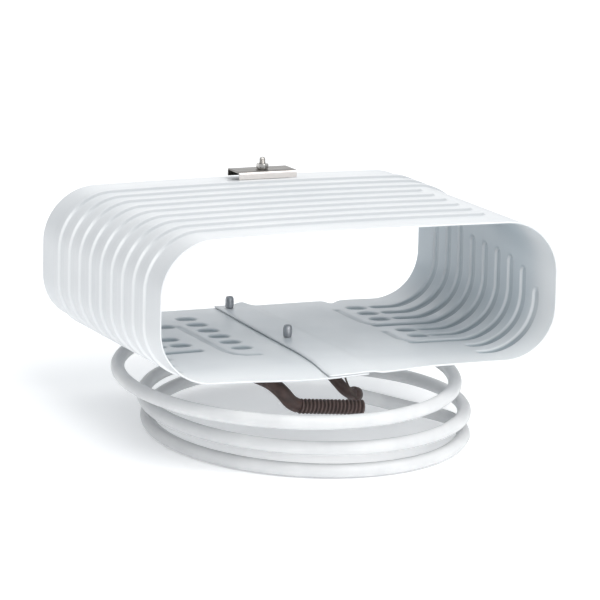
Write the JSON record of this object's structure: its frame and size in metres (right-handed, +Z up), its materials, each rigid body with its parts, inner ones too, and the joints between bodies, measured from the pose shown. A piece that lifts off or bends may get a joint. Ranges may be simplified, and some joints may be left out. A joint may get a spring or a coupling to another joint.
{
  "type": "refrigerator evaporator",
  "caption": "Ring-shaped ribbed aluminium freezer evaporator, tipped back on the open coil of its sleeved refrigerant line, with a thermostat bulb clamp on top.",
  "frame": {"origin": "on the floor, at the middle of the bounding box of the whole object", "axes": "+X along the ring's width, +Y from its open front to its open back, +Z up; the ring is tipped back 4.65 degrees about X"},
  "size_m": [0.3864, 0.3331, 0.217],
  "materials": {
    "coated_panel": "white baked coating over pressed roll-bond aluminium, satin",
    "rivet_aluminium": "dull blind rivet",
    "clamp_steel": "stainless sheet, satin",
    "fastener_steel": "stainless fastener, satin",
    "bare_aluminium": "drawn tube, satin",
    "brown_sleeve": "heat-shrunk sleeve, semi-matt",
    "copper": "drawn copper tube, satin",
    "white_sleeve": "soft white insulating sleeve, satin",
    "rubber_cap": "matt black rubber"
  },
  "bodies": {
    "evaporator": {"evaporator_panel": "coated_panel", "seam_rivet_rear": "rivet_aluminium", "seam_rivet_front": "rivet_aluminium", "clamp_stud": "fastener_steel", "outlet_neck": "bare_aluminium", "joint_ferrule": "bare_aluminium", "outlet_sleeve": "brown_sleeve", "winding_sleeve": "brown_sleeve", "winding_core": "copper", "inlet_sleeve": "brown_sleeve", "sleeve_start_band": "brown_sleeve", "sleeve_end_band": "brown_sleeve", "capillary_winding": "copper", "capillary_lead": "copper", "capillary_line": "copper", "suction_line": "copper", "line_sleeve": "white_sleeve", "suction_end_cap": "rubber_cap", "capillary_end_cap": "rubber_cap"},
    "clamp": {"clamp_plate": "clamp_steel"},
    "nut": {"clamp_nut": "fastener_steel"}
  },
  "joints": [
    {"name": "clamp_lift", "type": "slide", "parent": "evaporator", "child": "clamp", "axis": [0, 0.0811, 0.9967], "range_m": [0, 0.003]},
    {"name": "nut_turn", "type": "hinge", "parent": "clamp", "child": "nut", "pos_m": [0.017, 0.1462, 0.20453], "axis": [0, 0.0811, 0.9967], "range_deg": [0, 1081]}
  ],
  "couplings": [
    {"joint": "nut_turn", "follows": "clamp_lift", "rad_per_m": 6283.2}
  ]
}
